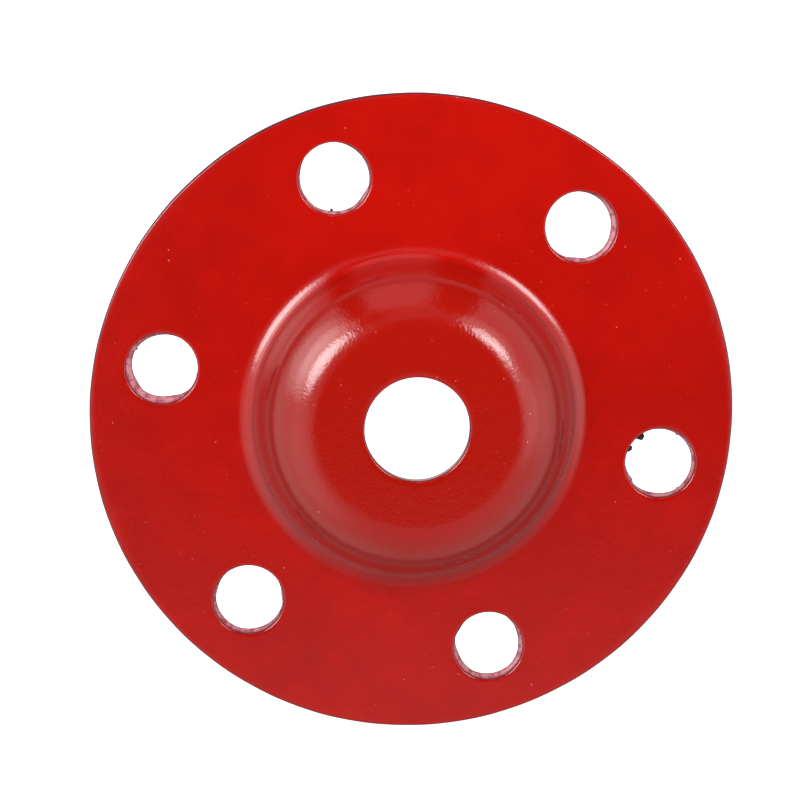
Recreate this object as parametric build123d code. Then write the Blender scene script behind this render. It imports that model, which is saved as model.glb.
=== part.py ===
from build123d import *

import os
from math import cos, pi, radians, sin, sqrt, tan
from random import Random

# A carbide grit shaping disc for an angle grinder: a pressed steel blank with a raised hub,
# a braze bed on its working face, and separate carbide grains seated on that bed.
# Millimetres. Z = 0 is the plane of the lowest grain tips, and +Z is the bore axis, towards the
# grinder. +X passes through one of the six sight holes.

# Driving dimensions of the blank.
disc_diameter = 100.0
sheet_thickness = 2.0
bore_diameter = 16.0
hub_height = 10.0  # hub seat above the back of the flange
seat_diameter = 30.0  # flat clamping face on top of the hub
knee_radius = 9.6  # outside of the bend from the seat into the wall
wall_angle = 75.0  # degrees between the wall and the flange
foot_radius = 1.5  # back side of the bend at the foot of the wall
sweep_radius = 4.8  # back side of the wider bend that runs out into the flange
sweep_angle = 20.0  # degrees that the wider bend turns through
rim_rounding = 0.3
bore_rounding = 0.25

# Sight holes.
hole_count = 6
hole_diameter = 11.0
hole_circle_diameter = 78.4
hole_rounding = 0.3

# Working face: the braze bed under the grains.
bed_thickness = 0.35
bed_inner_diameter = 57.0
bed_rim_margin = 0.5
bed_hole_margin = 0.15

# Carbide grains. Each stands on the bed, and the rim row stands taller than the rest.
grain_seed = 7
rim_grain_height = 1.15
rim_grain_width = 1.9
rim_grain_count = 72
face_grain_heights = (0.70, 1.05)
face_grain_widths = (1.5, 2.3)
face_grain_area = 11.5  # square millimetres of the face for each grain
edge_grain_heights = (0.65, 1.00)
edge_grain_width = 1.7
edge_grain_count = 14  # in the row round each sight hole
edge_grain_overhang = 0.45  # past the edge of the sight hole
grain_clearance = 0.1

# Shape of one grain, as shares of its width or of the space between its corners.
corner_wander = 0.22
base_raggedness = 0.25
tip_size = 0.26
tip_raggedness = 0.35
tip_lean = 0.18
row_wander = 0.06  # of a grain along its row, as a share of the spacing

edge_tolerance = 0.01  # for picking out circular edges by height and radius

# Levels and radii that follow from them.
front_z = rim_grain_height + bed_thickness
back_z = front_z + sheet_thickness
seat_z = back_z + hub_height
bed_z = rim_grain_height
disc_radius = disc_diameter / 2
seat_radius = seat_diameter / 2
hole_circle_radius = hole_circle_diameter / 2
rim_row_radius = disc_radius - bed_rim_margin - rim_grain_width / 2
edge_row_radius = (hole_diameter + edge_grain_width) / 2 - edge_grain_overhang
golden_angle = pi * (3 - sqrt(5))


def sweep_end_radius():
    """Radius at which the wider bend meets the flat of the flange."""
    bend = radians(wall_angle)
    sweep = radians(sweep_angle)
    drop = (knee_radius * (1 - cos(bend)) + foot_radius * (cos(sweep) - cos(bend))
            + sweep_radius * (1 - cos(sweep)))
    run = (knee_radius * sin(bend) + foot_radius * (sin(bend) - sin(sweep))
           + sweep_radius * sin(sweep))
    return seat_radius + run + (hub_height - drop) / tan(bend)


def hole_centres():
    """Sight hole centres, the first one on +X."""
    turns = [2 * pi * i / hole_count for i in range(hole_count)]
    return [(hole_circle_radius * cos(a), hole_circle_radius * sin(a)) for a in turns]


def hub_side(depth):
    """Section edges of one side of the sheet, from the bore to the rim, at a depth below the
    outer side. The bends keep their centres, so the sheet has one thickness all over."""
    foot_start = 270 - wall_angle
    sweep_start = 270 - sweep_angle
    knee_centre = Vector(seat_radius, seat_z - knee_radius)
    sweep_centre = Vector(sweep_end_radius(), back_z + sweep_radius)
    to_sweep = Vector(cos(radians(sweep_start)), sin(radians(sweep_start)))
    foot_centre = sweep_centre + (sweep_radius - foot_radius) * to_sweep
    knee = CenterArc(knee_centre, knee_radius - depth, 90, -wall_angle)
    foot = CenterArc(foot_centre, foot_radius + depth, foot_start, sweep_start - foot_start)
    sweep = CenterArc(sweep_centre, sweep_radius + depth, sweep_start, sweep_angle)
    seat = Line((bore_diameter / 2, seat_z - depth), knee @ 0)
    wall = Line(knee @ 1, foot @ 0)
    flange = Line(sweep @ 1, (disc_radius, back_z - depth))
    return seat, knee, wall, foot, sweep, flange


def round_edges(part, radius, level, hole_radius):
    """Round the circular edges of one radius at one level."""
    at_level = part.edges().filter_by(GeomType.CIRCLE).filter_by_position(
        Axis.Z, level - edge_tolerance, level + edge_tolerance)
    chosen = at_level.filter_by(lambda edge: abs(edge.radius - hole_radius) < edge_tolerance)
    return fillet(chosen, radius)


def pressed_disc():
    """The steel blank: flange, hub, bore and sight holes in one sheet."""
    with BuildPart() as blank:
        with BuildSketch(Plane.XZ):
            with BuildLine():
                outer = hub_side(0)
                inner = hub_side(sheet_thickness)
                Line(outer[0] @ 0, inner[0] @ 0)
                Line(outer[-1] @ 1, inner[-1] @ 1)
            make_face()
        revolve(axis=Axis.Z)
        with Locations([(x, y, back_z) for x, y in hole_centres()]):
            Cylinder(hole_diameter / 2, 4 * sheet_thickness, mode=Mode.SUBTRACT)
        for level in (front_z, back_z):
            round_edges(blank, rim_rounding, level, disc_radius)
        round_edges(blank, hole_rounding, back_z, hole_diameter / 2)
        for level in (seat_z, seat_z - sheet_thickness):
            round_edges(blank, bore_rounding, level, bore_diameter / 2)
    return blank.part


def braze_bed():
    """Thin ring of braze on the flange's working face, open at the sight holes."""
    with BuildPart() as bed:
        with Locations((0, 0, bed_z)):
            Cylinder(disc_radius - bed_rim_margin - rim_rounding / 2, bed_thickness,
                     align=(Align.CENTER, Align.CENTER, Align.MIN))
            Cylinder(bed_inner_diameter / 2, bed_thickness, mode=Mode.SUBTRACT,
                     align=(Align.CENTER, Align.CENTER, Align.MIN))
        with Locations([(x, y, bed_z) for x, y in hole_centres()]):
            Cylinder(hole_diameter / 2 + bed_hole_margin, 4 * bed_thickness, mode=Mode.SUBTRACT)
    return bed.part


def ring_points(draw, x, y, z, radius, count, raggedness):
    """Corners of a ragged polygon about (x, y), inside a circle of the given radius."""
    start = draw.uniform(0, 2 * pi)
    points = []
    for i in range(count):
        angle = start + 2 * pi * (i + draw.uniform(-corner_wander, corner_wander)) / count
        reach = radius * draw.uniform(1 - raggedness, 1)
        points.append((x + reach * cos(angle), y + reach * sin(angle), z))
    return points


def grain(draw, x, y, width, height):
    """One crushed carbide grain: a ragged base on the bed and a small tip facet off its centre."""
    base = ring_points(draw, x, y, bed_z, width / 2, draw.choice((5, 6)), base_raggedness)
    lean = draw.uniform(0, tip_lean) * width
    turn = draw.uniform(0, 2 * pi)
    tip_x = x + lean * cos(turn)
    tip_y = y + lean * sin(turn)
    tip = ring_points(draw, tip_x, tip_y, bed_z - height, tip_size * width, 3, tip_raggedness)
    return ConvexPolyhedron(base + tip)


def rim_grains(draw):
    """The row at the rim. All its tips reach Z = 0, so the disc rests on them."""
    grains = []
    for i in range(rim_grain_count):
        angle = 2 * pi * (i + draw.uniform(-row_wander, row_wander)) / rim_grain_count
        x = rim_row_radius * cos(angle)
        y = rim_row_radius * sin(angle)
        grains.append(grain(draw, x, y, rim_grain_width, rim_grain_height))
    return grains


def hole_edge_grains(draw):
    """A row round each sight hole, overhanging its edge a little."""
    grains = []
    for centre_x, centre_y in hole_centres():
        for i in range(edge_grain_count):
            angle = 2 * pi * (i + draw.uniform(-row_wander, row_wander)) / edge_grain_count
            x = centre_x + edge_row_radius * cos(angle)
            y = centre_y + edge_row_radius * sin(angle)
            grains.append(grain(draw, x, y, edge_grain_width, draw.uniform(*edge_grain_heights)))
    return grains


def face_grains(draw):
    """The field between those rows: a sunflower spiral, which fills a ring evenly with no rows."""
    widest = face_grain_widths[1]
    inner = bed_inner_diameter / 2 + widest / 2
    outer = rim_row_radius - (rim_grain_width + widest) / 2 - grain_clearance
    hole_reach = edge_row_radius + (edge_grain_width + widest) / 2 + grain_clearance
    grains = []
    for i in range(int(pi * outer**2 / face_grain_area)):
        radius = sqrt((i + 0.5) * face_grain_area / pi)
        x = radius * cos(i * golden_angle)
        y = radius * sin(i * golden_angle)
        near_hole = any((x - a) ** 2 + (y - b) ** 2 < hole_reach**2 for a, b in hole_centres())
        if radius < inner or near_hole:
            continue
        width = draw.uniform(*face_grain_widths)
        grains.append(grain(draw, x, y, width, draw.uniform(*face_grain_heights)))
    return grains


def write_node(name, shapes):
    """Write one sub-part: a single solid, or a group of separate solids."""
    solids = [solid for shape in shapes for solid in shape.solids()]
    whole = solids[0] if len(solids) == 1 else Compound(children=solids)
    export_step(whole, f"parts/{name}.step", write_pcurves=False)
    print(name, len(solids), "solids")


os.makedirs("parts", exist_ok=True)
random_draw = Random(grain_seed)
write_node("pressed_disc", [pressed_disc()])
write_node("braze_bed", [braze_bed()])
write_node("rim_grains", rim_grains(random_draw))
write_node("hole_edge_grains", hole_edge_grains(random_draw))
write_node("face_grains", face_grains(random_draw))
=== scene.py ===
from math import cos, pi, radians, sin, tan

import bpy
import numpy as np
from mathutils import Euler, Matrix, Vector


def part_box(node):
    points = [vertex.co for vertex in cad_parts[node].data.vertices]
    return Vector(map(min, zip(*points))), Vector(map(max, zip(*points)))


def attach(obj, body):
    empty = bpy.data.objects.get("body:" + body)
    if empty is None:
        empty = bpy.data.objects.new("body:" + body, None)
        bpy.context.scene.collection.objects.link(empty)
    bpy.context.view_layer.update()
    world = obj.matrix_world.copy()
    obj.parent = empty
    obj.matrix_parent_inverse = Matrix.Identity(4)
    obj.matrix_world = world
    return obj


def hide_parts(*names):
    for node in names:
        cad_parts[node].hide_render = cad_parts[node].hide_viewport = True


# A carbide grit shaping disc, lying on its grit with the hub up.
# Everything is in metres, in the CAD frame: Z = 0 at the grain tips, +X through one sight hole.

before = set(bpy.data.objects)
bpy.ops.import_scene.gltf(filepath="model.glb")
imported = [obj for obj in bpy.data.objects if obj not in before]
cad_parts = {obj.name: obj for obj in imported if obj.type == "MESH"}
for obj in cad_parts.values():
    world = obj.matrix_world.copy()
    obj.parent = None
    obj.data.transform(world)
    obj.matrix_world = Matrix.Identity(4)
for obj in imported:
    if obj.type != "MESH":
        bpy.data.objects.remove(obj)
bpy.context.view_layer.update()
mm = 0.001

discLow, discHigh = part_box("pressed_disc")
bedLow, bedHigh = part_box("braze_bed")
discRadius = discHigh.x
seatZ = discHigh.z
frontZ = discLow.z
bedZ = bedLow.z


# Vertex numbers of the quads of a grid of points, its columns closed into a ring.
# Corners run column by column, then back along the next row.
def ringQuads(rows, columns):
    row = np.arange(rows - 1)[:, None]
    column = np.arange(columns)[None, :]
    following = (column + 1) % columns
    corners = [row * columns + column, row * columns + following,
               (row + 1) * columns + following, (row + 1) * columns + column]
    return np.stack(corners, -1).reshape(-1, 4)


# Points of a circular arc in the (radius, height) plane: centre + reach * (cos a, sin a), degrees.
def arcPoints(centre, reach, start, end, count):
    a = np.radians(np.linspace(start, end, count))
    return np.stack([centre[0] + reach * np.cos(a), centre[1] + reach * np.sin(a)], -1)


# Sections joined end to end, with evenly spaced points on each straight run between two of them.
def joinSections(sections, runs):
    joined = [sections[0]]
    for section, count in zip(sections[1:], runs):
        share = np.linspace(0, 1, count + 2)[1:-1, None]
        joined += [joined[-1][-1] * (1 - share) + section[0] * share, section]
    return np.concatenate(joined)


# A profile turned about the Z axis: (r cos t, r sin t, z) for every profile point and angle.
def turnedProfile(profile, around):
    t = np.arange(around) * 2 * pi / around
    r, z = profile[:, :1], profile[:, 1:]
    points = np.stack([r * np.cos(t), r * np.sin(t), z + 0 * t], -1)
    return points.reshape(-1, 3), ringQuads(len(profile), around)


# Patches joined into one: points in the same cell of a fine grid become one. The cells are moved
# off the round numbers that points lie on.
weldCell, weldOffset = 0.0001 * mm, 0.37


def weldPatches(patches):
    starts = np.cumsum([0] + [len(points) for points, quads in patches])
    points = np.concatenate([points for points, quads in patches])
    quads = np.concatenate([quads + start for (_, quads), start in zip(patches, starts)])
    keys = np.floor(points / weldCell + weldOffset).astype(np.int64)
    _, first, number = np.unique(keys, axis=0, return_index=True, return_inverse=True)
    return points[first], number.reshape(-1)[quads]


# A mesh object from whole arrays. All faces have the same number of corners.
def newPiece(name, points, faces, smooth=True):
    mesh = bpy.data.meshes.new(name)
    mesh.vertices.add(len(points))
    mesh.vertices.foreach_set("co", points.astype(np.float32).ravel())
    mesh.loops.add(faces.size)
    mesh.loops.foreach_set("vertex_index", faces.astype(np.int32).ravel())
    mesh.polygons.add(len(faces))
    starts = np.arange(0, faces.size, faces.shape[1], dtype=np.int32)
    mesh.polygons.foreach_set("loop_start", starts)
    mesh.polygons.foreach_set("use_smooth", np.full(len(faces), smooth))
    mesh.update(calc_edges=True)
    mesh.validate()
    piece = bpy.data.objects.new(name, mesh)
    bpy.context.scene.collection.objects.link(piece)
    return piece


# One number per vertex, for a material to read.
def addMask(piece, name, values):
    attribute = piece.data.attributes.new(name, "FLOAT", "POINT")
    attribute.data.foreach_set("value", values.astype(np.float32))


# The flange's layout, shared by the enamelled disc and the braze bed.
layout = {
    "holeCount": 6,
    "holeCircle": 39.2 * mm,
    # how far each hole is off its place, outwards and sideways, in mm
    "holeDrift": ((-0.20, -0.20), (0.40, 0.0), (-0.40, -0.10), (-0.25, -0.30), (0.35, 0.25),
                  (-0.05, 0.35)),
    "arcCells": 60,  # cells along the inner and the outer arc of one sixth
    "sideCells": 16,  # cells along its two straight sides
    "lipCorners": 11,  # the far edge of a hole is a ragged polygon
    "firstColumn": -77,  # degrees about the hole's middle
    "seed": 11,
}
around = layout["arcCells"] * layout["holeCount"]


def holeMiddles():
    angle = 2 * pi * np.arange(layout["holeCount"]) / layout["holeCount"]
    outward, sideways = np.array(layout["holeDrift"]).T * mm
    c, s, reach = np.cos(angle), np.sin(angle), layout["holeCircle"] + outward
    return np.stack([reach * c - sideways * s, reach * s + sideways * c], -1)


# Outline of one sixth of a ring, anticlockwise: outer arc, side, inner arc, side.
def sixthOutline(inner, outer):
    half = pi / layout["holeCount"]
    across = np.linspace(-half, half, layout["arcCells"] + 1)[:-1]
    inward = np.linspace(outer, inner, layout["sideCells"] + 1)[:-1]
    outward = np.linspace(inner, outer, layout["sideCells"] + 1)[:-1]
    angle = np.concatenate([across, np.full(len(inward), half), -across,
                            np.full(len(outward), -half)])
    radius = np.concatenate([np.full(len(across), outer), inward, np.full(len(across), inner),
                             outward])
    return np.stack([radius * np.cos(angle), radius * np.sin(angle)], -1)


# One sixth of a pierced ring. Each row of the path is (share, hole radius, height, lip share):
# a point lies at that share of the way from the outline to the hole's circle, and the lip, a
# number for each column, narrows the circle.
def piercedSixth(inner, outer, path, lip, hole):
    outline = sixthOutline(inner, outer)
    centre = np.array([layout["holeCircle"], 0]) + np.array(layout["holeDrift"][hole]) * mm
    ray = np.unwrap(np.arctan2(*(outline - centre).T[::-1]))
    even = ray[0] + 2 * pi * np.arange(len(ray)) / len(ray)
    angle = (ray + even + (ray - even).mean()) / 2
    toHole = np.stack([np.cos(angle), np.sin(angle)], -1)
    share, radius, height, lipShare = (path[:, i, None] for i in range(4))
    reach = radius - lipShare * lip
    circle = centre + reach[..., None] * toHole
    flat = (1 - share)[..., None] * outline + share[..., None] * circle
    turn = 2 * pi * hole / layout["holeCount"]
    c, s = cos(turn), sin(turn)
    x, y = flat[..., 0], flat[..., 1]
    points = np.stack([c * x - s * y, s * x + c * y, height + 0 * x], -1)
    return points.reshape(-1, 3), ringQuads(len(path), len(outline))


# Depths below the back, in mm, are where a look starts, is full, is full to, and is gone.
blank = {
    "sheet": 2.0 * mm,
    "boreRadius": 8.0 * mm,
    "boreRounding": 0.25 * mm,
    "seatRadius": 15.0 * mm,
    "kneeRadius": 9.6 * mm,
    "wallAngle": 75,  # degrees between the hub's wall and the flange
    "footRadius": 1.5 * mm,
    "sweepRadius": 4.8 * mm,  # the wider bend that runs out into the flange
    "sweepAngle": 20,
    "rimRounding": 0.3 * mm,
    "holeRadius": 5.5 * mm,
    "holeRounding": 0.3 * mm,
    # the far edge of each hole stands in: mm all round, mm more on one side, that side in degrees
    "lips": ((0.20, 0.05, 200), (0.50, 0.50, 22), (0.35, 0.15, 332), (0.45, 0.10, 312),
             (0.30, 0.05, 180), (0.35, 0.35, 292)),
    "lipRaggedness": 0.20 * mm,
    "lipWander": 0.35,  # of a corner along the edge, as a share of the spacing
    "leastLip": 0.03 * mm,
    # down the wall of a hole: depth, how far back it steps in mm, share of the lip
    "holeWall": ((0.15, 0, 0), (0.35, 0, 0), (0.42, 0.07, 0), (0.50, 0.07, 0.1), (0.56, 0, 0.45),
                 (0.70, 0, 0.8), (0.85, 0, 0.95), (1, 0, 1)),
    "crowding": 1.4,  # of the rows near a hole
    # painted shade: the enamel is painted dark at these depths: a hole's edge, the bore's edge, a
    # hole's step, the rim
    "edgeShadeDepths": (0.06, 0.16, 0.34, 0.46),
    "boreShadeDepths": (0.05, 0.09, 0.13, 0.19),
    "stepShadeDepths": (0.75, 0.85, 1.05, 1.15),
    "rimShadeDepths": (0.005, 0.06, 1.7, 1.9),
    "stepShadeDarkness": 0.8,
    "thinAndSheenDepths": (0.25, 0.38, 2.0, 2.4),  # and thin at these, in the holes and the bore, where the wall is also painted pale as a painted reflection of light from below
    # the pressed sheet isn't quite flat: radians per metre along X and along Y, and a start
    "waves": ((95, 40, 1), (70, -120, 4)),
    "waveHeight": 0.03 * mm,
    # nor is the rim quite round: waves round it, start, share
    "rimWaves": ((5, 1, 1), (13, 0, 0.6), (37, 2, 0.5)),
    "rimUnevenness": 0.04 * mm,
    "steepness": 6,  # both grow towards the rim with this power of the radius
}
backZ = frontZ + blank["sheet"]


# Section of the hub: up the outside from the flange, through the bore, and down the inside.
def hubProfile():
    sheet, knee = blank["sheet"], blank["kneeRadius"]
    foot, sweep = blank["footRadius"], blank["sweepRadius"]
    wall, run = radians(blank["wallAngle"]), radians(blank["sweepAngle"])
    drop = knee * (1 - cos(wall)) + foot * (cos(run) - cos(wall)) + sweep * (1 - cos(run))
    reach = knee * sin(wall) + foot * (sin(wall) - sin(run)) + sweep * sin(run)
    end = blank["seatRadius"] + reach + (seatZ - backZ - drop) / tan(wall)
    kneeCentre = (blank["seatRadius"], seatZ - knee)
    sweepCentre = (end, backZ + sweep)
    footCentre = (end - (sweep - foot) * sin(run), backZ + sweep - (sweep - foot) * cos(run))
    edge = blank["boreRounding"]
    boreTop = (blank["boreRadius"] + edge, seatZ - edge)
    boreBase = (blank["boreRadius"] + edge, seatZ - sheet + edge)
    kneeStart, footStart = 90 - blank["wallAngle"], 270 - blank["wallAngle"]
    sweepStart = 270 - blank["sweepAngle"]
    # each arc's last number is its count of points, and the runs' counts fill the straights
    sections = [arcPoints(sweepCentre, sweep, 270, sweepStart, 9),
                arcPoints(footCentre, foot, sweepStart, footStart, 13)[1:],
                arcPoints(kneeCentre, knee, kneeStart, 90, 35),
                arcPoints(boreTop, edge, 90, 180, 5),
                arcPoints(boreBase, edge, 180, 270, 5),
                arcPoints(kneeCentre, knee - sheet, 90, kneeStart, 17),
                arcPoints(footCentre, foot + sheet, footStart, sweepStart, 7),
                arcPoints(sweepCentre, sweep + sheet, sweepStart, 270, 5)[1:]]
    return joinSections(sections, [0, 3, 7, 2, 4, 2, 0])


# Section of the rim: from the working face out, up over both rounded edges, and back in.
def rimProfile():
    edge = blank["rimRounding"]
    inset = discRadius - edge
    sections = [arcPoints((inset, frontZ + edge), edge, 270, 360, 6),
                arcPoints((inset, backZ - edge), edge, 0, 90, 7)]
    return joinSections(sections, [2])


# Path from the flange's outline over the back, into a hole, and back out on the working face.
# A punched hole's wall is smooth at first, then steps back where the steel tore.
def flangePath():
    edge, radius = blank["holeRounding"], blank["holeRadius"]
    near = 1 - (1 - np.linspace(0, 1, 14)) ** blank["crowding"]
    rows = [(share, radius + edge, backZ, 0) for share in near]
    for a in np.radians(np.linspace(0, 90, 6)[1:]):
        rows.append((1, radius + edge * (1 - sin(a)), backZ - edge * (1 - cos(a)), 0))
    for depth, back, lipShare in blank["holeWall"]:
        height = backZ - edge + depth * (frontZ - backZ + edge)
        rows.append((1, radius + back * mm, height, lipShare))
    rows += [(share, radius, frontZ, share) for share in near[::-2][1:]]
    rows.append((0, radius, frontZ, 0))
    return np.array(rows)


# How far a hole's far edge stands in: amount + lean * cos(angle - side), made ragged by straight
# runs between uneven corners. The columns start at the outline's first corner.
def raggedLip(draw, amount, lean, side):
    columns = 2 * (layout["arcCells"] + layout["sideCells"])
    count = layout["lipCorners"]
    angle = np.arange(columns) / columns
    wander = blank["lipWander"]
    corner = (np.arange(count) + draw.uniform(-wander, wander, count)) / count
    ragged = np.interp(angle, corner, draw.uniform(-1, 1, count), period=1)
    evenly = amount + lean * np.cos(2 * pi * angle + radians(layout["firstColumn"] - side))
    return np.maximum(evenly * mm + ragged * blank["lipRaggedness"], blank["leastLip"])


# 1 between the two middle depths, 0 outside the other two. Depths in mm.
def between(depth, start, full, end, gone):
    return np.interp(depth / mm, (start, full, end, gone), (0, 1, 1, 0))


def makeEnamelledDisc():
    hub, rim, path = hubProfile(), rimProfile(), flangePath()
    draw = np.random.default_rng(layout["seed"])
    patches = [turnedProfile(hub, around), turnedProfile(rim, around)]
    for hole, (amount, lean, side) in enumerate(blank["lips"]):
        lip = raggedLip(draw, amount, lean, side)
        patches.append(piercedSixth(hub[0, 0], rim[0, 0], path, lip, hole))
    points, quads = weldPatches(patches)
    x, y = points[:, 0], points[:, 1]
    angle, radius = np.arctan2(y, x), np.hypot(x, y)
    outer = np.clip(radius / discRadius, 0, 1) ** blank["steepness"]
    down = backZ - points[:, 2]
    atRim = radius > discRadius - blank["rimRounding"]
    fromHole = np.linalg.norm(points[:, None, :2] - holeMiddles()[None], axis=-1).min(1)
    atHole = fromHole < blank["holeRadius"] + blank["holeRounding"]
    atBore = radius < blank["boreRadius"] + blank["boreRounding"]
    downBore = seatZ - points[:, 2]
    # painted shade: dark lines just past the rounded edges of the holes and the bore, in the
    # holes' steps and on the rim's side
    paintedShadeMask = between(down, *blank["edgeShadeDepths"]) * atHole
    paintedShadeMask += between(down, *blank["rimShadeDepths"]) * atRim
    paintedShadeMask += between(down, *blank["stepShadeDepths"]) * atHole * blank["stepShadeDarkness"]
    paintedShadeMask += between(downBore, *blank["boreShadeDepths"]) * atBore
    # thin enamel on the walls of the holes and the bore, painted pale as well for the light
    # reflected up from below
    thinAndSheenMask = between(down, *blank["thinAndSheenDepths"]) * atHole
    thinAndSheenMask += between(downBore, *blank["thinAndSheenDepths"]) * atBore
    wave = sum(np.sin(a * x + b * y + c) for a, b, c in blank["waves"])
    wave = wave + np.sin(2 * angle + 0.5) * outer  # a saddle
    uneven = sum(share * np.sin(count * angle + c) for count, c, share in blank["rimWaves"])
    points[:, :2] *= 1 + (outer * uneven * blank["rimUnevenness"] / discRadius / 2)[:, None]
    wave = wave / (len(blank["waves"]) + 1)
    points[:, 2] += wave * blank["waveHeight"] * np.clip(outer * 2, 0, 1)
    piece = newPiece("enamelledDisc", points, quads)
    addMask(piece, "edgeEnamel", paintedShadeMask)
    addMask(piece, "thinEnamel", thinAndSheenMask)
    return piece


print("enamelled disc")
enamelledDisc = makeEnamelledDisc()
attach(enamelledDisc, "root")
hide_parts("pressed_disc")


bed = {
    "innerRadius": 28.5 * mm,
    "outerRadius": bedHigh.x,
    "holeRadius": 5.75 * mm,
    "rounding": 0.2 * mm,
    "sunkIn": 0.05 * mm,  # its top lies inside the sheet, so no gap shows
    "roughness": 0.06 * mm,
    "lumpHeights": (-1, 0.3),  # of that roughness, before it is evened out
    "evenedOut": 0.6,
}


def makeBrazeBed():
    top, edge = bed["sunkIn"] + frontZ, bed["rounding"]
    inner, outer, radius = bed["innerRadius"], bed["outerRadius"], bed["holeRadius"]
    rows = [(share, radius, top, 0) for share in np.linspace(0, 1, 5)]
    rows += [(1, radius, bedZ + edge, 0), (1, radius + edge / 2, bedZ, 0)]
    rows += [(share, radius + edge / 2, bedZ, 0) for share in np.linspace(1, 0, 16)[1:]]
    path = np.array(rows)
    outerSide = np.array([(outer, bedZ), (outer + edge / 2, bedZ + edge), (outer, top)])
    innerSide = np.array([(inner, top), (inner - edge / 2, bedZ + edge), (inner, bedZ)])
    patches = [turnedProfile(outerSide, around), turnedProfile(innerSide, around)]
    for hole in range(layout["holeCount"]):
        patches.append(piercedSixth(inner, outer, path, 0, hole))
    points, quads = weldPatches(patches)
    draw = np.random.default_rng(layout["seed"])
    rough = draw.uniform(*bed["lumpHeights"], len(points)) * bed["roughness"] * bed["evenedOut"]
    points[:, 2] += np.where(points[:, 2] < bedZ + edge / 2, -rough, 0)
    return newPiece("brazeBed", points, quads)


print("braze bed")
brazeBed = makeBrazeBed()
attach(brazeBed, "root")
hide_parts("braze_bed")


grit = {
    "seed": 5,
    "size": (1.05 * mm, 1.55 * mm),
    "faceArea": 2.1 * mm * mm,  # of the face for each grain
    "rimRows": ((49.0 * mm, 230), (47.75 * mm, 215)),  # radius and count
    "holeRows": ((6.15 * mm, 29), (7.35 * mm, 34)),
    "innerRadius": 29.2 * mm,
    "rimGap": 1.15 * mm,  # from the rows to the field between them
    "holeGap": 1.1 * mm,
    "rowWander": (0.3, 0.2),  # along the row as a share of the spacing, and across it in mm
    "faceWander": 0.22,  # mm
    "sunk": (0.10, 0.34),  # of a grain's middle below the bed, as a share of its size
    "stretch": (0.62, 1.12),  # along each of a grain's three axes
    "jitter": (0.68, 1.12),  # of each corner's distance from the middle
    # grains that stick out into a hole: hole, degrees about its middle, distance in mm, size in mm
    "strays": ((4, 138, 4.85, 1.85), (4, 169, 5.0, 1.4), (4, 65, 5.3, 1.2), (0, 157, 5.1, 0.7),
               (1, -23, 4.95, 0.8), (1, 32, 4.7, 0.5), (2, 150, 5.35, 0.8)),
}


# Crushed grains: icosahedra stretched, turned and knocked out of true, all at once.
# Corner = centre + turn * (stretch * unit corner * jitter), lifted so that no tip is below Z = 0.
def shards(centres, sizes, seed):
    draw = np.random.default_rng(seed)
    g = (1 + 5 ** 0.5) / 2
    unit = np.array([(-1, g, 0), (1, g, 0), (-1, -g, 0), (1, -g, 0), (0, -1, g), (0, 1, g),
                     (0, -1, -g), (0, 1, -g), (g, 0, -1), (g, 0, 1), (-g, 0, -1), (-g, 0, 1)])
    unit /= np.linalg.norm(unit[0])
    sides = np.array([(0, 11, 5), (0, 5, 1), (0, 1, 7), (0, 7, 10), (0, 10, 11), (1, 5, 9),
                      (5, 11, 4), (11, 10, 2), (10, 7, 6), (7, 1, 8), (3, 9, 4), (3, 4, 2),
                      (3, 2, 6), (3, 6, 8), (3, 8, 9), (4, 9, 5), (2, 4, 11), (6, 2, 10),
                      (8, 6, 7), (9, 8, 1)])
    count = len(centres)
    stretch = draw.uniform(*grit["stretch"], (count, 1, 3))
    jitter = draw.uniform(*grit["jitter"], (count, 12, 1))
    turn, _ = np.linalg.qr(draw.normal(size=(count, 3, 3)))
    turn *= np.sign(np.linalg.det(turn))[:, None, None]
    corners = (unit * stretch * jitter) @ turn * sizes[:, None, None] / 2
    points = centres[:, None, :] + corners
    points[..., 2] -= np.minimum(points[..., 2].min(1), 0)[:, None]
    faces = sides[None] + 12 * np.arange(count)[:, None, None]
    return points.reshape(-1, 3), faces.reshape(-1, 3)


# Grain centres on circles, each knocked a little off its even place.
def ringCentres(draw, middle, rows):
    centres = []
    along, across = grit["rowWander"]
    for radius, count in rows:
        angle = (np.arange(count) + draw.uniform(-along, along, count)) * 2 * pi / count
        reach = radius + draw.uniform(-across, across, count) * mm
        x, y = middle[0] + reach * np.cos(angle), middle[1] + reach * np.sin(angle)
        centres.append(np.stack([x, y], -1))
    return np.concatenate(centres)


# Sunflower spiral over the rest of the face: radius sqrt(i * area / pi), angle i * golden angle.
def faceCentres(draw):
    inner, outer = grit["innerRadius"], grit["rimRows"][-1][0] - grit["rimGap"]
    i = np.arange(int(pi * outer ** 2 / grit["faceArea"]))
    radius = np.sqrt((i + 0.5) * grit["faceArea"] / pi)
    angle = i * pi * (3 - 5 ** 0.5)
    centres = np.stack([radius * np.cos(angle), radius * np.sin(angle)], -1)
    centres += draw.uniform(-grit["faceWander"], grit["faceWander"], centres.shape) * mm
    gap = np.linalg.norm(centres[:, None] - holeMiddles()[None], axis=-1).min(1)
    clear = gap > grit["holeRows"][-1][0] + grit["holeGap"]
    return centres[clear & (np.linalg.norm(centres, axis=1) > inner)]


def strayGrains():
    hole, angle, reach, size = np.array(grit["strays"]).T
    turn = hole * 2 * pi / layout["holeCount"] + np.radians(angle)
    aside = reach[:, None] * mm * np.stack([np.cos(turn), np.sin(turn)], -1)
    return holeMiddles()[hole.astype(int)] + aside, size * mm


def makeGrains(name, flatCentres, draw, strays=None):
    sizes = draw.uniform(*grit["size"], len(flatCentres))
    if strays:
        flatCentres = np.concatenate([flatCentres, strays[0]])
        sizes = np.concatenate([sizes, strays[1]])
    count = len(sizes)
    heights = bedZ - sizes * draw.uniform(*grit["sunk"], count)
    centres = np.concatenate([flatCentres, heights[:, None]], -1)
    points, faces = shards(centres, sizes, int(draw.integers(1 << 30)))
    return newPiece(name, points, faces, smooth=False)


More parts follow.
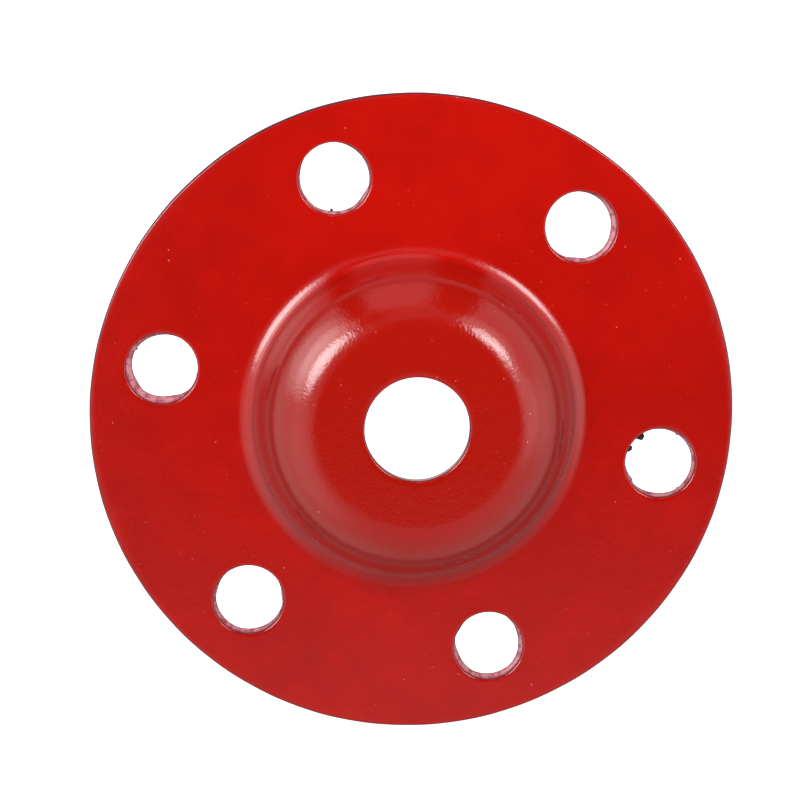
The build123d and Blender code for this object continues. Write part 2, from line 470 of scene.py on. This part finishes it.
print("carbide grit")
gritDraw = np.random.default_rng(grit["seed"])
rimGrains = makeGrains("rimGrains", ringCentres(gritDraw, (0, 0), grit["rimRows"]), gritDraw)
edgeCentres = [ringCentres(gritDraw, middle, grit["holeRows"]) for middle in holeMiddles()]
holeEdgeGrains = makeGrains("holeEdgeGrains", np.concatenate(edgeCentres), gritDraw, strayGrains())
faceGrains = makeGrains("faceGrains", faceCentres(gritDraw), gritDraw)
for grains, node in ((rimGrains, "rim_grains"), (holeEdgeGrains, "hole_edge_grains"),
                     (faceGrains, "face_grains")):
    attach(grains, "root")
    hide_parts(node)


# An output socket. Sums, products and so on of it add Math nodes to its tree.
class Wire:
    def __init__(self, tree, socket=None):
        self.tree = tree
        self.socket = socket

    # Any node: its type, its settings, then the values or links of its sockets.
    def node(self, kind, settings, sockets, output=0):
        made = self.tree.nodes.new("ShaderNode" + kind)
        for key, value in settings.items():
            if key == "stops":
                self.setStops(made.color_ramp, value)
            else:
                setattr(made, key, value)
        for key, value in sockets.items():
            if isinstance(value, Wire):
                self.tree.links.new(value.socket, made.inputs[key])
            else:
                made.inputs[key].default_value = value
        return Wire(self.tree, made.outputs[output])

    def setStops(self, ramp, stops):
        while len(ramp.elements) < len(stops):
            ramp.elements.new(0.5)
        for element, (place, level) in zip(ramp.elements, stops):
            element.position = place
            element.color = (level, level, level, 1)

    def maths(self, operation, first, second):
        return self.node("Math", {"operation": operation}, {0: first, 1: second})

    def __add__(self, other):
        return self.maths("ADD", self, other)

    def __sub__(self, other):
        return self.maths("SUBTRACT", self, other)

    def __rsub__(self, other):
        return self.maths("SUBTRACT", other, self)

    def __mul__(self, other):
        return self.maths("MULTIPLY", self, other)

    __radd__ = __add__
    __rmul__ = __mul__


# A new material and a wire to start its nodes from.
def newMaterial(name):
    material = bpy.data.materials.new(name)
    material.use_nodes = True
    material.node_tree.nodes.clear()
    return material, Wire(material.node_tree)


def shadeWith(pieces, material):
    for piece in pieces:
        piece.data.materials.clear()
        piece.data.materials.append(material)


def finishMaterial(start, shader):
    output = start.tree.nodes.new("ShaderNodeOutputMaterial")
    start.tree.links.new(shader.socket, output.inputs["Surface"])


# Noise on Object coordinates whose lumps are about the given size across.
def lumps(start, size, detail=2, roughness=0.5):
    place = start.node("TexCoord", {}, {}, "Object")
    return start.node("TexNoise", {}, {"Vector": place, "Scale": 1 / size, "Detail": detail,
                                       "Roughness": roughness})


# 0 before the start, 1 after the end, smooth between them.
def ease(value, start, end):
    settings = {"interpolation_type": "SMOOTHSTEP"}
    return value.node("MapRange", settings, {"Value": value, "From Min": start, "From Max": end})


# The same with straight sides.
def ramp(value, start, end):
    return value.node("ValToRGB", {"stops": ((start, 0), (end, 1))}, {0: value})


# Each colour is a wire or three numbers.
def mixColour(start, factor, first, second):
    first, second = ((*c, 1) if isinstance(c, tuple) else c for c in (first, second))
    return start.node("Mix", {"data_type": "RGBA"}, {0: factor, 6: first, 7: second}, 2)


enamel = {
    "deep": (0.345, 0.0040, 0.0020),
    "bright": (0.405, 0.0046, 0.0022),
    "hub": (0.317, 0.0056, 0.0023),  # darker and browner on the hub's dome
    "hubRadii": (22 * mm, 25.5 * mm),
    "thin": (0.55, 0.21, 0.24),  # thin enamel on the punched walls with steel showing through, painted pale as well: a painted reflection of the light from below
    "halfThin": (0.36, 0.07, 0.09),
    # painted light: the bore's wall is painted near white, for the light shining up on it from
    # below
    "bore": (0.80, 0.50, 0.53),
    "wornSize": 0.9 * mm,
    "wornLevels": (0.40, 0.55),  # of the noise: all half thin below, all thin above
    "edge": (0.08, 0.010, 0.026),  # painted shade: dark just past a rounded edge, in a hole's step and on the rim's side
    "roughness": 0.12,
    "indexOfRefraction": 1.55,
    "coatRoughness": 0.09,
    "peelSize": 1.2 * mm,
    "peelHeight": 0.018 * mm,
    "finePeelSize": 0.45 * mm,
    "finePeelHeight": 0.015 * mm,
    "flangePeel": 0.5,  # its share on the flange, which is smoother than the hub
    "wanderSize": 4 * mm,  # the hub's tone ends along a wandering line
    "wander": 3 * mm,
    "edgeRoughness": 0.45,
    "mottleSize": 5 * mm,
    "broadSize": 22 * mm,
    "toneLevels": (0.38, 0.64),
    "dustSize": 0.5 * mm,
    "dustLevels": (0.865, 0.89),  # only the highest peaks of the noise
    "dust": (0.55, 0.13, 0.11),
}


def makeEnamel():
    material, start = newMaterial("redEnamel")
    place = start.node("TexCoord", {}, {}, "Object")
    fromAxis = start.node("VectorMath", {"operation": "MULTIPLY"}, {0: place, 1: (1, 1, 0)})
    radius = start.node("VectorMath", {"operation": "LENGTH"}, {0: fromAxis}, "Value")
    mottle = lumps(start, enamel["mottleSize"], detail=3)
    broad = lumps(start, enamel["broadSize"], detail=1)
    tone = ramp((mottle + broad) * 0.5, *enamel["toneLevels"])
    flange = mixColour(start, tone, enamel["deep"], enamel["bright"])
    wander = (lumps(start, enamel["wanderSize"], detail=3) - 0.5) * enamel["wander"]
    onFlange = ease(radius + wander, *enamel["hubRadii"])
    colour = mixColour(start, onFlange, enamel["hub"], flange)
    dust = ramp(lumps(start, enamel["dustSize"], detail=0), *enamel["dustLevels"])
    colour = mixColour(start, dust, colour, enamel["dust"])
    # On the walls of the holes and the bore: thin enamel, painted pale as well as a painted
    # reflection of the light from below.
    thin = start.node("Attribute", {"attribute_name": "thinEnamel"}, {}, "Fac")
    worn = ramp(lumps(start, enamel["wornSize"]), *enamel["wornLevels"])
    wall = mixColour(start, worn, enamel["halfThin"], enamel["thin"])
    # painted light: the bore's wall takes the near white colour that stands in for light from
    # below
    inBore = ease(radius, blank["seatRadius"], blank["boreRadius"] + blank["boreRounding"])
    colour = mixColour(start, thin, colour, mixColour(start, inBore, wall, enamel["bore"]))
    # painted shade: where this mask is, the enamel is painted near black, rougher and without its
    # coat
    edge = start.node("Attribute", {"attribute_name": "edgeEnamel"}, {}, "Fac")
    colour = mixColour(start, edge, colour, enamel["edge"])
    calm = 1 - ease(radius, *enamel["hubRadii"]) * (1 - enamel["flangePeel"])
    peel = lumps(start, enamel["peelSize"], detail=1) * calm
    bump = start.node("Bump", {}, {"Height": peel, "Strength": 1.0,
                                   "Distance": enamel["peelHeight"]})
    fine = lumps(start, enamel["finePeelSize"], detail=1) * calm
    bump = start.node("Bump", {}, {"Height": fine, "Strength": 1.0,
                                   "Distance": enamel["finePeelHeight"], "Normal": bump})
    roughness = edge * (enamel["edgeRoughness"] - enamel["roughness"]) + enamel["roughness"]
    shader = start.node("BsdfPrincipled", {}, {
        "Base Color": colour, "Roughness": roughness, "Normal": bump,
        "IOR": enamel["indexOfRefraction"], "Coat Weight": 1 - edge,
        "Coat IOR": enamel["indexOfRefraction"], "Coat Roughness": enamel["coatRoughness"],
        "Coat Normal": bump})
    finishMaterial(start, shader)
    return material


# A mottled, rough, half metallic skin.
def makeSkin(name, skin):
    material, start = newMaterial(name)
    grain = lumps(start, skin["size"], skin["detail"], skin["fineness"])
    colour = mixColour(start, grain, skin["dark"], skin["light"])
    bump = start.node("Bump", {}, {"Height": grain, "Strength": skin["strength"],
                                   "Distance": skin["height"]})
    shader = start.node("BsdfPrincipled", {}, {
        "Base Color": colour, "Roughness": skin["roughness"], "Metallic": skin["metallic"],
        "Normal": bump})
    finishMaterial(start, shader)
    return material


braze = {"dark": (0.10, 0.085, 0.07), "light": (0.28, 0.25, 0.21), "size": 0.9 * mm,
         "detail": 5, "fineness": 0.65, "strength": 1.0, "height": 0.12 * mm,
         "roughness": 0.55, "metallic": 0.7}
carbide = {"dark": (0.028, 0.018, 0.020), "light": (0.10, 0.085, 0.09), "size": 0.6 * mm,
           "detail": 4, "fineness": 0.6, "strength": 0.8, "height": 0.05 * mm,
           "roughness": 0.42, "metallic": 0.6}

print("materials")
shadeWith([enamelledDisc], makeEnamel())
shadeWith([brazeBed], makeSkin("brazeSkin", braze))
shadeWith([rimGrains, holeEdgeGrains, faceGrains], makeSkin("crushedCarbide", carbide))


# Angles in degrees, lens and sensor in millimetres.
view = {
    "lens": 108,
    "sensorWidth": 36,
    "clipStart": 0.01,
    "aim": (3.26 * mm, 1.13 * mm, backZ),
    "distance": 371.8 * mm,
    "azimuth": 88.5,
    "elevation": 78.8,
    "roll": 162.9,
}


# The camera's axes, as the columns of a matrix.
def cameraTurn():
    upright = Euler((radians(90 - view["elevation"]), 0, radians(view["azimuth"]))).to_matrix()
    return upright @ Matrix.Rotation(radians(view["roll"]), 3, "Z")


def makeCamera():
    turned = cameraTurn()
    camera = bpy.data.objects.new("camera", bpy.data.cameras.new("camera"))
    camera.data.lens = view["lens"]
    camera.data.sensor_width = view["sensorWidth"]
    camera.data.clip_start = view["clipStart"]
    camera.location = Vector(view["aim"]) + turned @ Vector((0, 0, view["distance"]))
    camera.rotation_euler = turned.to_euler()
    bpy.context.scene.collection.objects.link(camera)
    bpy.context.scene.camera = camera


# A white light tent with lamps behind its cloth, a slot for the camera, and dark gaps beside a
# strip of cloth at the back. Directions are degrees from straight up, and degrees
# anticlockwise from the right as the camera sees it.
tent = {
    "level": 0.44,
    "cloth": 0.42,
    "lowerCloth": 0.42,  # more, towards the level of the disc
    "leftGlow": 0.72,
    "rightGlow": 0.45,
    # direction, tilt, full within, gone beyond, glow
    "lamps": ((157, 27, 4, 13.5, 12.5), (153, 42, 5, 22, 4.0), (152, 60, 5, 25, 2.4),
              (28, 28, 3, 9.5, 9.0), (18, 24, 3, 8.5, 6.0), (36, 36, 3, 15, 1.3),
              (350, 35, 4, 18, 1.0), (352, 58, 4, 20, 0.5), (215, 40, 5, 26, 0.5)),
    # its left, right, near and far edge: outside, inside
    "slot": ((-0.23, -0.01), (0.35, 0.19), (-0.35, -0.17), (0.45, 0.35)),
    "gaps": (-0.75, 0.72),  # both, as right over up
    "leastUp": 0.02,  # keeps that ratio finite
    "gapsFrom": (0.2, 0.35),
    "strip": (-0.42, 0.22),
    "stripFrom": (0.50, 0.74),
    "stripGlow": 0.74,
    "soft": 0.09,
    "horizon": (-0.2, 0.2),  # the tent fades out below the level of the disc
    "background": 1.0,
}


def tentAxes():
    right = cameraTurn().col[0].copy()
    right.z = 0
    right.normalize()
    return right, Vector((0, 0, 1)).cross(right)


def along(start, direction, axis):
    settings = {"operation": "DOT_PRODUCT"}
    return start.node("VectorMath", settings, {0: direction, 1: tuple(axis)}, "Value")


def lampGlow(start, direction, lamp):
    side, tilt, full, gone, glow = lamp
    right, up = tentAxes()
    flat = right * cos(radians(side)) + up * sin(radians(side))
    middle = flat * sin(radians(tilt)) + Vector((0, 0, cos(radians(tilt))))
    return ease(along(start, direction, middle), cos(radians(gone)), cos(radians(full))) * glow


def makeTent():
    world = bpy.data.worlds.new("lightTent")
    world.use_nodes = True
    world.node_tree.nodes.clear()
    start = Wire(world.node_tree)
    direction = start.node("TexCoord", {}, {}, "Generated")
    right, up = tentAxes()
    x, y = along(start, direction, right), along(start, direction, up)
    soft = tent["soft"]

    def within(value, low, high):
        return ease(value, low - soft, low + soft) * ease(value, high + soft, high - soft)

    leftEdge, rightEdge, nearEdge, farEdge = tent["slot"]
    slot = ease(x, *leftEdge) * ease(x, *rightEdge) * ease(y, *nearEdge) * ease(y, *farEdge)
    ratio = start.maths("DIVIDE", x, start.maths("MAXIMUM", y, tent["leastUp"]))
    gaps = within(ratio, *tent["gaps"]) * ease(y, *tent["gapsFrom"])
    strip = within(ratio, *tent["strip"]) * ease(y, *tent["stripFrom"])
    z = along(start, direction, (0, 0, 1))
    cloth = tent["cloth"] + tent["lowerCloth"] * (1 - z)
    cloth = cloth + tent["rightGlow"] * start.maths("MAXIMUM", x, 0)
    cloth = cloth - tent["leftGlow"] * start.maths("MINIMUM", x, 0)
    glow = cloth * (1 - slot) * (1 - gaps) + strip * tent["stripGlow"]
    for lamp in tent["lamps"]:
        glow = glow + lampGlow(start, direction, lamp)
    toCamera = start.node("LightPath", {}, {}, "Is Camera Ray")
    glow = glow * tent["level"] * ease(z, *tent["horizon"])
    level = glow * (1 - toCamera) + toCamera * tent["background"]
    shader = start.node("Background", {}, {"Color": (1, 1, 1, 1), "Strength": level})
    output = world.node_tree.nodes.new("ShaderNodeOutputWorld")
    world.node_tree.links.new(shader.socket, output.inputs["Surface"])
    bpy.context.scene.world = world


floorValues = {
    "half": 6.0,
    "white": 0.10,
    "camera": 0.95,
    "under": 0.62,
    "litRadii": (1.1, 0.9),  # shares of the disc's radius: gone beyond, full within
    "around": 0.04,
}


# White to the camera. To the rest it is bright only under the disc, like a small lit table, so
# that it shines up through the holes and no light floods the hub's wall. That light is left out of
# reflections.
def makeFloor():
    half = floorValues["half"]
    points = np.array([(-half, -half, 0), (half, -half, 0), (half, half, 0), (-half, half, 0)])
    floor = newPiece("floor", points, np.array([[0, 1, 2, 3]]), smooth=False)
    material, start = newMaterial("whiteFloor")
    white = floorValues["white"]
    cloth = start.node("BsdfDiffuse", {}, {"Color": (white, white, white, 1)})
    place = start.node("TexCoord", {}, {}, "Object")
    fromMiddle = start.node("VectorMath", {"operation": "LENGTH"}, {0: place}, "Value")
    gone, full = floorValues["litRadii"]
    lit = ease(fromMiddle, discRadius * gone, discRadius * full)
    toCamera = start.node("LightPath", {}, {}, "Is Camera Ray")
    lit = lit * (1 - start.node("LightPath", {}, {}, "Is Glossy Ray"))
    strength = floorValues["around"] + lit * floorValues["under"]
    strength = strength + toCamera * floorValues["camera"]
    glow = start.node("Emission", {}, {"Strength": strength})
    finishMaterial(start, start.node("AddShader", {}, {0: cloth, 1: glow}))
    shadeWith([floor], material)


# Two soft lamps left out of reflections, like lamps behind baffles: one over the far side lights
# that side of the flange more, and one low at the near side lights the hub's near wall. Metres
# and watts.
washes = (
    {"name": "farWash", "size": 0.07, "power": 0.29, "right": 0.01, "up": 0.092, "height": 0.16},
    {"name": "nearWash", "size": 0.10, "power": 0.11, "right": -0.07, "up": -0.23, "height": 0.09},
)


def makeWash(wash):
    right, up = tentAxes()
    lamp = bpy.data.lights.new(wash["name"], "AREA")
    lamp.size = wash["size"]
    lamp.energy = wash["power"]
    holder = bpy.data.objects.new(wash["name"], lamp)
    holder.location = right * wash["right"] + up * wash["up"] + Vector((0, 0, wash["height"]))
    holder.rotation_euler = holder.location.to_track_quat("Z", "Y").to_euler()
    holder.visible_glossy = False
    holder.visible_camera = False
    bpy.context.scene.collection.objects.link(holder)


print("camera, light tent and floor")
makeCamera()
makeTent()
for wash in washes:
    makeWash(wash)
makeFloor()
bpy.context.scene.view_settings.view_transform = "Standard"
